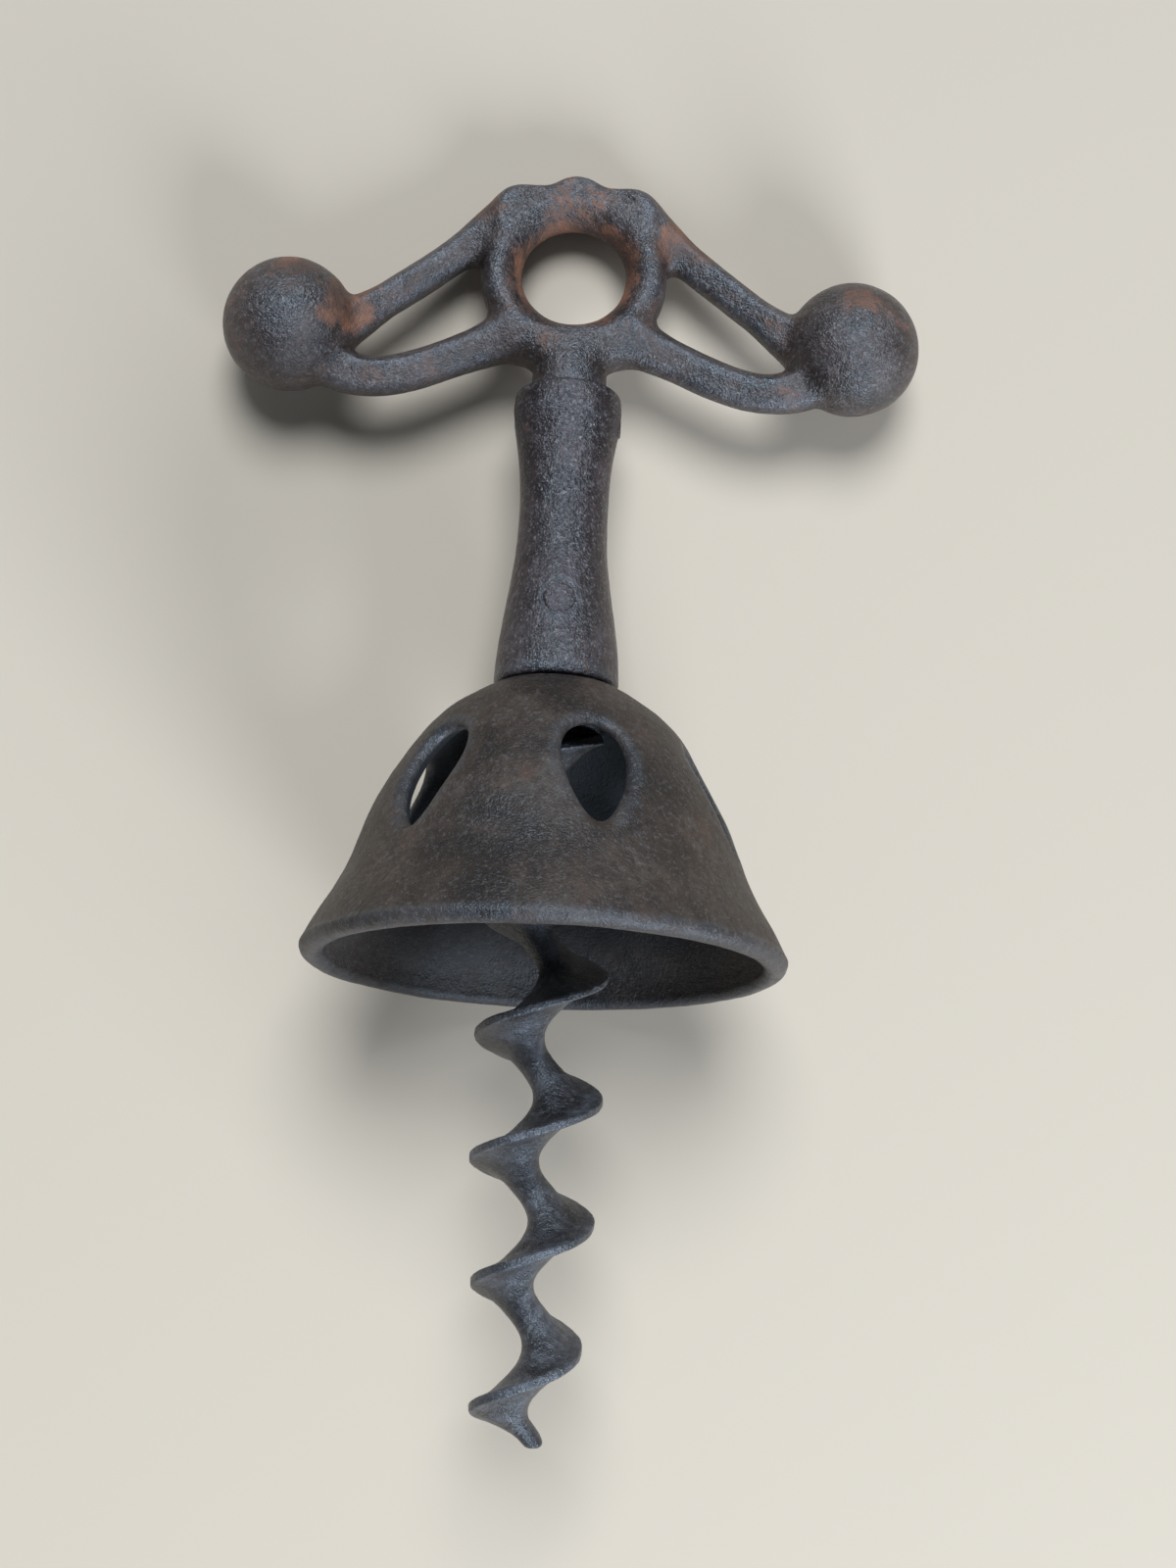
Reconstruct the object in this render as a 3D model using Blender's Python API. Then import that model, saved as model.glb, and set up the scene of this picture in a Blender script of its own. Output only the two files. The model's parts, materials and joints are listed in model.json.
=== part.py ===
# Bell corkscrew: a cast T-handle pinned to a sleeve, and a bell that turns freely on the worm's shank.
#
# Every piece is modelled upright about one axis: +Z runs from the mouth of the bell (z = 0) towards
# the handle, +X along the handle's arms, and the front faces -Y. The empty tool_axis carries all the
# pieces and lays the tool down on its back, on the lip of the bell and the two balls.

from math import cos, hypot, pi, radians, sin, sqrt

import bmesh
import bpy
import numpy as np
from mathutils import Vector

mm = 0.001
seat_gap = 0.3 * mm        # between pieces that touch or turn on each other

# Bell
rim_radius = 22.25 * mm
bell_height = 26.4 * mm
crown_radius = 5.9 * mm
bell_wall = 2.0 * mm
lip_wall = 2.3 * mm
lip_outer_round = 1.1 * mm
lip_inner_round = 0.4 * mm
crown_thickness = 2.4 * mm
window_count = 6
window_width = 6.0 * mm
window_bottom = 10.0 * mm
window_top = 20.4 * mm
window_phase = radians(15)

# Worm: blade, shoulder and shank
pitch = 11.2 * mm
blade_reach = 6.0 * mm
blade_reach_low = 5.0 * mm
blade_root = 0.4 * mm
blade_half_width = 2.1 * mm
tip_drop = 42.8 * mm       # from the bell's mouth down to the tip
tip_reach = 4.4 * mm
tip_half_width = 0.9 * mm
blade_phase_height = -5.9 * mm   # where the blade points towards -X
worm_bend = radians(9)       # the worm leans back by this much, below the bell's crown
bend_from = 20.0 * mm
bend_length = 14.0 * mm
shoulder_radius = 4.6 * mm
shoulder_thickness = 1.5 * mm
shank_radius = 2.75 * mm

# Sleeve
sleeve_length = 29.5 * mm
foot_radius = 5.85 * mm
foot_round = 0.5 * mm
waist_radius = 4.22 * mm
waist_height = 17.7 * mm
collar_radius = 5.2 * mm
collar_drop = 2.9 * mm     # from the sleeve's top edge down to the widest part of its collar
top_radius = 4.95 * mm

# Pins
shank_pin_radius = 1.5 * mm
shank_pin_height = 7.3 * mm      # above the sleeve's foot
collar_pin_radius = 1.1 * mm
pin_dome = 0.25 * mm

# Handle, with heights above the sleeve's top edge
spigot_radius = 3.3 * mm
spigot_depth = 6.0 * mm
neck_radius = 3.6 * mm
neck_flare = 6.6 * mm
eye_height = 12.6 * mm
eye_throat = 5.1 * mm
eye_mouth = 6.65 * mm
ring_radius = 9.1 * mm
ring_half = 2.9 * mm
land_inset = 1.2 * mm       # from the ring's edge in to its flat faces
crest_peak = 1.1 * mm
crest_lobe = 1.7 * mm
lobe_angle = radians(39)
crest_spread = radians(26)
ball_radius = 6.44 * mm
ball_offset = 27.43 * mm
ball_height = 6.32 * mm
arm_root = 2.25 * mm
upper_arm_mid = 1.7 * mm
lower_arm_mid = 1.95 * mm
arm_end = 2.5 * mm

# How finely curved surfaces are divided
bell_steps = 44
sleeve_steps = 28
eye_steps = 40
rod_steps = 20
arm_steps = 10
ball_steps = 11
pin_steps = 16
blade_steps_per_turn = 18
blade_sides = 12

# Places that follow from the sizes above
shank_bore = shank_radius + seat_gap
spigot_bore = spigot_radius + seat_gap
sleeve_foot = bell_height + seat_gap
sleeve_top = sleeve_foot + sleeve_length
bore_step = sleeve_length - spigot_depth - seat_gap
shoulder_top = bell_height - crown_thickness - seat_gap
shoulder_bottom = shoulder_top - shoulder_thickness
shank_pin_at = sleeve_foot + shank_pin_height
collar_pin_at = sleeve_top - collar_drop


def mix(start, end, share):
    return start + (end - start) * share


def ease(share):
    share = min(max(share, 0), 1)
    return share * share * (3 - 2 * share)


def smooth_curve(points, steps):
    """Points along a Catmull-Rom curve through the given ones."""
    knots = [Vector(p) for p in points]
    knots = [2 * knots[0] - knots[1], *knots, 2 * knots[-1] - knots[-2]]
    curve = []
    for a, b, c, d in zip(knots, knots[1:], knots[2:], knots[3:]):
        for i in range(steps):
            t = i / steps
            bend = (2 * a - 5 * b + 4 * c - d) * t**2 + (3 * b - a - 3 * c + d) * t**3
            curve.append((2 * b + (c - a) * t + bend) / 2)
    return [*curve, knots[-2]]


def bezier(a, b, c, d, steps):
    """Evenly stepped points along one cubic curve."""
    shares = [i / steps for i in range(steps + 1)]
    return [
        a * (1 - t) ** 3 + 3 * b * t * (1 - t) ** 2 + 3 * c * t**2 * (1 - t) + d * t**3
        for t in shares
    ]


def add_shell(bm, rings, looped=False):
    """Joins equal rings of points into one closed shell, capped at both ends unless it is looped."""
    rows = [[bm.verts.new(point) for point in ring] for ring in rings]
    pairs = list(zip(rows, rows[1:] + rows[:1])) if looped else list(zip(rows, rows[1:]))
    faces = []
    for low, high in pairs:
        for i in range(len(low)):
            j = (i + 1) % len(low)
            faces.append(bm.faces.new((low[i], low[j], high[j], high[i])))
    if not looped:
        faces.append(bm.faces.new(rows[0]))
        faces.append(bm.faces.new(rows[-1]))
    bmesh.ops.recalc_face_normals(bm, faces=faces)


def add_turned(bm, profile, steps):
    """One closed shell turned about Z from a closed outline of (radius, height) points."""
    turns = [2 * pi * i / steps for i in range(steps)]
    rings = [[(r * cos(a), r * sin(a), z) for r, z in profile] for a in turns]
    add_shell(bm, rings, looped=True)


def add_rod(bm, stations, steps):
    """One closed shell of elliptical sections about Z: (height, half width in X, half width in Y)."""
    turns = [2 * pi * i / steps for i in range(steps)]
    add_shell(bm, [[(x * cos(a), y * sin(a), z) for a in turns] for z, x, y in stations])


def add_arm(bm, path, radii, steps):
    """One closed round shell along a path that lies in the XZ plane."""
    turns = [2 * pi * i / steps for i in range(steps)]
    across = Vector((0, 1, 0))
    rings = []
    for i, centre in enumerate(path):
        along = (path[min(i + 1, len(path) - 1)] - path[max(i - 1, 0)]).normalized()
        up = across.cross(along)
        rings.append([centre + radii[i] * (across * cos(a) + up * sin(a)) for a in turns])
    add_shell(bm, rings)


def make_object(name, bm, parent, height=0.0, material=None):
    mesh = bpy.data.meshes.new(name)
    bm.to_mesh(mesh)
    bm.free()
    mesh.shade_smooth()
    mesh.set_sharp_from_angle(angle=radians(40))
    obj = bpy.data.objects.new(name, mesh)
    bpy.context.scene.collection.objects.link(obj)
    obj.parent = parent
    obj.location.z = height
    if material:
        mesh.materials.append(material)
    return obj


def make_material(name, colour, roughness, metallic):
    material = bpy.data.materials.new(name)
    material.use_nodes = True
    shader = material.node_tree.nodes["Principled BSDF"]
    shader.inputs["Base Color"].default_value = (*colour, 1)
    shader.inputs["Roughness"].default_value = roughness
    shader.inputs["Metallic"].default_value = metallic
    return material


def cut(obj, cutter, cuts_itself=False):
    """Takes the cutter out of the object; cuts_itself also joins the object's own crossing shells."""
    cutter.hide_render = True
    cutter.display_type = "WIRE"
    boolean = obj.modifiers.new(f"cut by {cutter.name}", "BOOLEAN")
    boolean.operation = "DIFFERENCE"
    boolean.object = cutter
    boolean.use_self = cuts_itself


def make_hole_cutter(name, parent, radius, reach, height, along_x):
    """A rod across the axis, along X or along Y, longer than what it passes through."""
    bm = bmesh.new()
    add_rod(bm, [(-reach, radius, radius), (reach, radius, radius)], pin_steps)
    cutter = make_object(name, bm, parent, height)
    cutter.rotation_euler = (0, pi / 2, 0) if along_x else (pi / 2, 0, 0)
    return cutter


def make_pin(name, parent, radius, half_length, height, along_x, material):
    """A cross pin whose two ends are hammered into low domes."""
    rim, face = 0.9 * radius, 0.5 * radius
    body = half_length - pin_dome
    half = [(body, radius, radius), (mix(body, half_length, 0.7), rim, rim), (half_length, face, face)]
    bm = bmesh.new()
    add_rod(bm, [(-z, x, y) for z, x, y in reversed(half)] + half, pin_steps)
    pin = make_object(name, bm, parent, height, material)
    pin.rotation_euler = (0, pi / 2, 0) if along_x else (pi / 2, 0, 0)
    return pin


def bell_outer_profile():
    """From the lip's widest point up the flared skirt and the dome to the edge of the crown."""
    shares = (
        (0, 1), (0.10, 0.92), (0.20, 0.83), (0.31, 0.752), (0.53, 0.633),
        (0.75, 0.44), (0.87, 0.285), (0.95, 0.125), (1, 0),
    )
    low, high = lip_outer_round, bell_height
    points = [(mix(crown_radius, rim_radius, r), mix(low, high, z), 0) for z, r in shares]
    return [(p.x, p.y) for p in smooth_curve(points, 2)]


def offset_inwards(profile, distance):
    """The profile moved towards the axis and down, square to itself."""
    moved = []
    for i, (r, z) in enumerate(profile):
        before, after = profile[max(i - 1, 0)], profile[min(i + 1, len(profile) - 1)]
        run, rise = after[0] - before[0], after[1] - before[1]
        length = hypot(run, rise)
        moved.append((r - distance * rise / length, z + distance * run / length))
    return moved


def lip_profile():
    """The mouth's edge from the inside out: small inner round, flat land, large outer round."""
    inner = rim_radius - lip_wall
    quarter = [radians(a) for a in (0, 30, 60, 90)]
    inside = [
        (inner + lip_inner_round * (1 - cos(a)), lip_inner_round * (1 - sin(a))) for a in quarter
    ]
    centre = rim_radius - lip_outer_round
    outside = [
        (centre + lip_outer_round * sin(a), lip_outer_round * (1 - cos(a))) for a in quarter
    ]
    return inside + outside[:-1]


def make_bell(parent, material):
    outer = bell_outer_profile()
    seat = bell_height - crown_thickness
    inner = offset_inwards(outer, bell_wall)[1::2]
    inner = [(r, z) for r, z in inner if 2 * lip_inner_round < z < seat and r > shoulder_radius]
    crown = [(shank_bore, bell_height), (shank_bore, seat)]
    seat_edge = (min(shoulder_radius + seat_gap, inner[-1][0]), seat)
    bm = bmesh.new()
    add_turned(bm, lip_profile() + outer + crown + [seat_edge] + inner[::-1], bell_steps)
    bell = make_object("bell", bm, parent, material=material)
    cut(bell, make_window_cutter(parent))
    return bell


def make_window_cutter(parent):
    """One teardrop prism for each window, wider towards the crown, set evenly round the axis."""
    egg, steps = 0.3, 20
    start = 1.15 * window_width / 2 / np.tan(pi / window_count)
    end = 1.2 * rim_radius
    middle, half = (window_top + window_bottom) / 2, (window_top - window_bottom) / 2
    outline = []
    for i in range(steps):
        a = 2 * pi * i / steps
        outline.append((window_width / 2 * sin(a) * (1 + egg * cos(a)), middle + half * cos(a)))
    bm = bmesh.new()
    for k in range(window_count):
        turn = window_phase + 2 * pi * k / window_count
        out, side = Vector((sin(turn), -cos(turn), 0)), Vector((cos(turn), sin(turn), 0))
        rings = [[out * r + side * x + Vector((0, 0, z)) for x, z in outline] for r in (start, end)]
        add_shell(bm, rings)
    return make_object("window_cutter", bm, parent)


def sleeve_radius(height):
    """The sleeve's outside: a foot that eases into a waist, then a collar with a rounded top."""
    collar_at = sleeve_length - collar_drop
    if height <= waist_height:
        share = (0.5 + 0.5 * cos(pi * height / waist_height)) ** 1.2
        return mix(waist_radius, foot_radius, share)
    if height <= collar_at:
        share = (height - waist_height) / (collar_at - waist_height)
        return mix(waist_radius, collar_radius, share**2)
    share = min((height - collar_at) / collar_drop, 1)
    return mix(top_radius, collar_radius, sqrt(1 - share**2))


def make_sleeve(parent, material):
    collar_at = sleeve_length - collar_drop
    heights = [mix(foot_round, waist_height, i / 6) for i in range(7)]
    heights += [mix(waist_height, collar_at, i / 4) for i in range(1, 5)]
    heights += [collar_at + collar_drop * sin(radians(a)) for a in (25, 50, 70, 90)]
    outside = [(foot_radius - foot_round, 0)] + [(sleeve_radius(z), z) for z in heights]
    inside = [
        (spigot_bore, sleeve_length), (spigot_bore, bore_step), (shank_bore, bore_step), (shank_bore, 0),
    ]
    bm = bmesh.new()
    add_turned(bm, outside + inside, sleeve_steps)
    return make_object("sleeve", bm, parent, sleeve_foot, material)


def blade_reach_at(height):
    """How far the blade stands out: full under the bell, less towards the tip, drawn in at both ends."""
    full = mix(blade_reach_low, blade_reach, ease((height + 0.85 * tip_drop) / (0.5 * tip_drop)))
    drawn_in = ease((height + tip_drop) / (pitch / 3))
    top = ease((shoulder_bottom - height) / (pitch / 4))
    return mix(tip_reach, full, drawn_in) - (full - shoulder_radius) * (1 - top)


def bent(point):
    """A point of the straight worm moved to where the bend puts it."""
    run = bend_from - point.z
    if run <= 0 or worm_bend == 0:
        return point
    bow = bend_length / worm_bend
    angle = min(run / bow, worm_bend)
    rest = run - bow * angle
    y = bow * (1 - cos(angle)) + rest * sin(angle)
    z = bend_from - bow * sin(angle) - rest * cos(angle)
    return Vector((point.x, y + point.y * cos(angle), z + point.y * sin(angle)))


def blade_ring(height):
    """The blade's section at one height: a rounded bar from just behind the axis out to its reach."""
    reach = blade_reach_at(height)
    narrowed = ease((height + tip_drop) / (pitch / 4))
    half_width = mix(tip_half_width, blade_half_width, narrowed)
    turn = pi + 2 * pi * (height - blade_phase_height) / pitch
    along, across = Vector((cos(turn), sin(turn), 0)), Vector((-sin(turn), cos(turn), 0))
    centre, half_length, squareness = (reach - blade_root) / 2, (reach + blade_root) / 2, 0.72
    ring = []
    for i in range(blade_sides):
        a = 2 * pi * i / blade_sides
        u = half_length * abs(cos(a)) ** squareness * np.sign(cos(a))
        v = half_width * abs(sin(a)) ** squareness * np.sign(sin(a))
        ring.append(bent(along * (centre + u) + across * v + Vector((0, 0, height))))
    return ring


def make_worm(parent, material):
    """Shank, shoulder and blade in one forging, with the hole for its pin."""
    shank_top = sleeve_foot + bore_step
    blade_top = shoulder_bottom + shoulder_thickness / 2
    steps = round((blade_top + tip_drop) / pitch * blade_steps_per_turn)
    bm = bmesh.new()
    add_shell(bm, [blade_ring(mix(-tip_drop, blade_top, i / steps)) for i in range(steps + 1)])
    add_rod(bm, [
        (shoulder_bottom, shoulder_radius, shoulder_radius),
        (shoulder_top, shoulder_radius, shoulder_radius),
        (shoulder_top, shank_radius, shank_radius),
        (shank_top, shank_radius, shank_radius),
    ], rod_steps)
    return make_object("worm", bm, parent, material=material)


def ring_edge(angle):
    """The eye ring's outer radius at an angle from the top: round, with a crest of three lobes."""
    def lobe(centre):
        away = min(abs(angle - centre) / crest_spread, 1)
        return 0.5 + 0.5 * cos(pi * away)
    return ring_radius + crest_peak * lobe(0) + crest_lobe * (lobe(lobe_angle) + lobe(-lobe_angle))


def add_eye_ring(bm):
    """The pierced ring: a throat that opens to both faces, a flat land on each, and a round outside."""
    rings = []
    throat_side = mix(eye_throat, eye_mouth, 0.3)
    for i in range(eye_steps):
        angle = -pi + 2 * pi * i / eye_steps
        edge = ring_edge(angle)
        land, shoulder = edge - land_inset, edge - 0.3 * land_inset
        half = [(eye_throat, 0), (throat_side, 0.5), (eye_mouth, 1), (land, 1), (shoulder, 0.66)]
        section = half + [(edge, 0)] + [(r, -y) for r, y in half[:0:-1]]
        out = Vector((sin(angle), 0, cos(angle)))
        centre = Vector((0, 0, eye_height))
        rings.append([centre + out * r + Vector((0, y * ring_half, 0)) for r, y in section])
    add_shell(bm, rings, looped=True)


def add_neck(bm):
    """Spigot, neck and the flare that spreads into the ring and the lower arms."""
    ring_foot = eye_height - ring_radius
    inside_ring = eye_height - mix(eye_mouth, ring_radius - land_inset, 0.1)
    stations = [
        (-spigot_depth, spigot_radius, spigot_radius),
        (seat_gap, spigot_radius, spigot_radius),
        (seat_gap, neck_radius, neck_radius),
        (mix(seat_gap, ring_foot, 0.6), neck_radius, neck_radius),
    ]
    start = stations[-1][0]
    for share in (0.2, 0.4, 0.6, 0.8, 1):
        wide = mix(neck_radius, neck_flare, ease(share))
        deep = mix(neck_radius, 0.9 * ring_half, ease(share))
        stations.append((mix(start, inside_ring, share), wide, deep))
    add_rod(bm, stations, rod_steps)


def from_eye(angle, radius):
    return Vector((radius * sin(angle), 0, eye_height + radius * cos(angle)))


def arm_radii(middle, count):
    """Thick where the arm leaves the ring, slim along its length, thick again at the ball."""
    radii = []
    for i in range(count):
        share = i / (count - 1)
        root, end = ease(1 - 3 * share), ease(3 * share - 2)
        radii.append(middle + (arm_root - middle) * root + (arm_end - middle) * end)
    return radii


def add_arms(bm, side):
    """The upper arm runs straight down to the ball, the lower one sags and rises into it."""
    ball = Vector((ball_offset, 0, ball_height))
    upper_root = from_eye(radians(43), 0.99 * ring_radius)
    lower_root = from_eye(radians(139), 0.945 * ring_radius)
    upper_end = ball + ball_radius * Vector((-0.69, 0, -0.02))
    lower_end = ball + ball_radius * Vector((-0.44, 0, -0.36))
    upper_span, lower_span = (upper_end - upper_root).length, (lower_end - lower_root).length
    upper = bezier(
        upper_root, upper_root + upper_span * Vector((0.25, 0, -0.21)),
        upper_end + upper_span * Vector((-0.23, 0, 0.135)), upper_end, 9,
    )
    lower = bezier(
        lower_root, lower_root + lower_span * Vector((0.31, 0, -0.085)),
        lower_end + lower_span * Vector((-0.27, 0, -0.325)), lower_end, 10,
    )
    for path, middle in ((upper, upper_arm_mid), (lower, lower_arm_mid)):
        placed = [Vector((side * p.x, p.y, p.z)) for p in path]
        add_arm(bm, placed, arm_radii(middle, len(placed)), arm_steps)


def add_ball(bm, side):
    """A sphere whose poles lie along X, each closed by a small flat."""
    steps = ball_steps
    polar = [pi * (i + 0.5) / steps for i in range(steps)]
    turns = [pi * i / steps for i in range(2 * steps)]
    rings = []
    for a in polar:
        x, r = side * (ball_offset - ball_radius * cos(a)), ball_radius * sin(a)
        rings.append([(x, r * cos(b), ball_height + r * sin(b)) for b in turns])
    add_shell(bm, rings)


def make_handle(parent, material):
    """The whole T-handle in one casting."""
    bm = bmesh.new()
    add_eye_ring(bm)
    add_neck(bm)
    for side in (-1, 1):
        add_arms(bm, side)
        add_ball(bm, side)
    return make_object("handle", bm, parent, sleeve_top, material)


def points_of(obj):
    """The finished mesh's points in the frame of tool_axis."""
    seen = obj.evaluated_get(bpy.context.evaluated_depsgraph_get())
    place = obj.matrix_basis
    return np.array([place @ vertex.co for vertex in seen.data.vertices])


def lay_down(tool_axis, pieces):
    """Tips the tool back until bell and handle touch the ground alike, and centres it over the origin."""
    clouds = {piece.name: points_of(piece) for piece in pieces}

    def lowest(points, tilt):
        return (-points[:, 2] * sin(tilt) - points[:, 1] * cos(tilt)).min()

    low, high = 0.0, radians(45)
    for _ in range(50):
        tilt = (low + high) / 2
        if lowest(clouds["handle"], tilt) > lowest(clouds["bell"], tilt):
            low = tilt
        else:
            high = tilt
    tool_axis.rotation_euler.x = -(pi / 2 + tilt)
    laid = np.concatenate(list(clouds.values())) @ np.array(tool_axis.rotation_euler.to_matrix()).T
    middle = (laid.min(axis=0) + laid.max(axis=0)) / 2
    tool_axis.location = (-middle[0], -middle[1], -laid[:, 2].min())


def build():
    for obj in list(bpy.data.objects):
        bpy.data.objects.remove(obj)
    cast = make_material("cast iron", (0.075, 0.062, 0.056), 0.55, 0.6)
    worn = make_material("worn iron", (0.095, 0.083, 0.078), 0.5, 0.7)
    steel = make_material("forged steel", (0.13, 0.125, 0.125), 0.5, 0.8)
    tool_axis = bpy.data.objects.new("tool_axis", None)
    bpy.context.scene.collection.objects.link(tool_axis)

    bell = make_bell(tool_axis, cast)
    worm = make_worm(tool_axis, steel)
    sleeve = make_sleeve(tool_axis, worn)
    handle = make_handle(tool_axis, cast)

    shank_pin_reach = sleeve_radius(shank_pin_height) + pin_dome / 2
    collar_pin_reach = collar_radius + pin_dome
    shank_pin = make_pin(
        "shank_pin", tool_axis, shank_pin_radius, shank_pin_reach, shank_pin_at, False, steel
    )
    collar_pin = make_pin(
        "collar_pin", tool_axis, collar_pin_radius, collar_pin_reach, collar_pin_at, True, steel
    )
    reach = 1.5 * max(foot_radius, collar_radius)
    shank_hole = make_hole_cutter(
        "shank_hole", tool_axis, shank_pin_radius + seat_gap, reach, shank_pin_at, False
    )
    collar_hole = make_hole_cutter(
        "collar_hole", tool_axis, collar_pin_radius + seat_gap, reach, collar_pin_at, True
    )
    cut(worm, shank_hole, cuts_itself=True)
    cut(handle, collar_hole, cuts_itself=True)
    cut(sleeve, shank_hole)
    cut(sleeve, collar_hole)
    lay_down(tool_axis, [bell, worm, sleeve, handle, shank_pin, collar_pin])


build()
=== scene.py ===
# Cast-iron bell corkscrew: a T-handle pinned to a sleeve, and a bell that turns on the worm's shank.
# Lengths in the dictionaries are millimetres and angles are degrees, unless a note says otherwise.
# Every piece is modelled upright on the tool's own axis: +Z from the bell's mouth to the handle,
# +X along the arms, and the front faces -Y.

import json
from math import ceil, cos, pi, radians, sin

import bmesh
import bpy
import numpy as np
from mathutils import Euler, Matrix, Vector, noise


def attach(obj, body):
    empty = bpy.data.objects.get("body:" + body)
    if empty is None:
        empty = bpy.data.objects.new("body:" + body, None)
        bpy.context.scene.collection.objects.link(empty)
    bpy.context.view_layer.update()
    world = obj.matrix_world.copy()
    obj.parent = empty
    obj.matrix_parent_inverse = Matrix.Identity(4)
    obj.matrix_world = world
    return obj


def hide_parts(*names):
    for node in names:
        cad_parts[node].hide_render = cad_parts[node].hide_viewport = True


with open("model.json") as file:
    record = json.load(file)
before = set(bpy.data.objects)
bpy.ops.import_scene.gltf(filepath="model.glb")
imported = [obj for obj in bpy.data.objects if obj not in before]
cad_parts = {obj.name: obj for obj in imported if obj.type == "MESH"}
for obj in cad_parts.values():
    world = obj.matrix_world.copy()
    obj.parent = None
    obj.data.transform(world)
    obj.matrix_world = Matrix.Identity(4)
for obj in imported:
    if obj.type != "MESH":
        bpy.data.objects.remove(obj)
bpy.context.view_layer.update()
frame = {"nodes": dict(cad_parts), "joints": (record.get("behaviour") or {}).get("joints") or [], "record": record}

mm = 0.001

tool = {
    "axis": frame["joints"][0]["axis"],
    "pivot": frame["joints"][0]["pos_m"],
    "mouth": next(m["pos_m"] for m in frame["record"]["mounts"] if m["name"] == "bell_mouth"),
}


def makeToolFrame():
    # The matrix from the tool's own axes to the row frame, with its origin in the bell's mouth
    zAxis, pivot = Vector(tool["axis"]).normalized(), Vector(tool["pivot"])
    xAxis = Vector((1, 0, 0))
    yAxis = zAxis.cross(xAxis).normalized()
    origin = pivot + zAxis * zAxis.dot(Vector(tool["mouth"]) - pivot)
    turn = Matrix((xAxis, yAxis, zAxis)).transposed().to_4x4()
    return Matrix.Translation(origin) @ turn


toolFrame = makeToolFrame()


def spanOf(node):
    # Lowest and highest place of a CAD node along the tool's axis, in mm
    back = toolFrame.inverted()
    heights = [(back @ v.co).z / mm for v in frame["nodes"][node].data.vertices]
    return min(heights), max(heights)


def mix(start, end, share):
    return start + (end - start) * share


def ease(share):
    share = np.clip(share, 0, 1)
    return share * share * (3 - 2 * share)


def blendMin(a, b, k):
    # Joins two fields with a fillet about k wide
    h = np.clip(0.5 + 0.5 * (b - a) / k, 0, 1)
    return b + (a - b) * h - k * h * (1 - h)


def blendMax(a, b, k):
    return -blendMin(-a, -b, k)


def smoothCurve(points, steps):
    # Points along a Catmull-Rom curve through the given ones
    knots = [np.array(p, float) for p in points]
    knots = [2 * knots[0] - knots[1], *knots, 2 * knots[-1] - knots[-2]]
    curve = []
    for a, b, c, d in zip(knots, knots[1:], knots[2:], knots[3:]):
        for i in range(steps):
            t = i / steps
            bend = (2 * a - 5 * b + 4 * c - d) * t**2 + (3 * b - a - 3 * c + d) * t**3
            curve.append((2 * b + (c - a) * t + bend) / 2)
    return [*curve, knots[-2]]


def bezier(a, b, c, d, steps):
    t = np.linspace(0, 1, steps + 1)[:, None]
    return a * (1 - t) ** 3 + 3 * b * t * (1 - t) ** 2 + 3 * c * t**2 * (1 - t) + d * t**3


def outlineTable(points, step, room):
    # Signed distance to a closed 2-D outline, tabled on a grid so that it can be looked up fast
    points = np.array(points, float)
    low, high = points.min(0) - room, points.max(0) + room
    counts = np.ceil((high - low) / step).astype(int) + 1
    a, b = np.meshgrid(*(low[i] + step * np.arange(counts[i]) for i in range(2)), indexing="ij")
    nearest, inside = np.full(a.shape, 1e9), np.zeros(a.shape, bool)
    for (pa, pb), (qa, qb) in zip(points, np.roll(points, -1, axis=0)):
        da, db = qa - pa, qb - pb
        t = np.clip(((a - pa) * da + (b - pb) * db) / max(da * da + db * db, 1e-12), 0, 1)
        nearest = np.minimum(nearest, (a - pa - t * da) ** 2 + (b - pb - t * db) ** 2)
        if db:
            crosses = ((pb > b) != (qb > b)) & (a < pa + da * (b - pb) / db)
            inside ^= crosses
    signed = np.sqrt(nearest) * np.where(inside, -1, 1)
    return {"low": low, "step": step, "values": signed}


def lookUp(table, a, b):
    values, step, low = table["values"], table["step"], table["low"]
    i = np.clip((a - low[0]) / step, 0, values.shape[0] - 1.001)
    j = np.clip((b - low[1]) / step, 0, values.shape[1] - 1.001)
    i0, j0 = i.astype(int), j.astype(int)
    s, t = i - i0, j - j0
    return (
        values[i0, j0] * (1 - s) * (1 - t) + values[i0 + 1, j0] * s * (1 - t)
        + values[i0, j0 + 1] * (1 - s) * t + values[i0 + 1, j0 + 1] * s * t
    )


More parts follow.
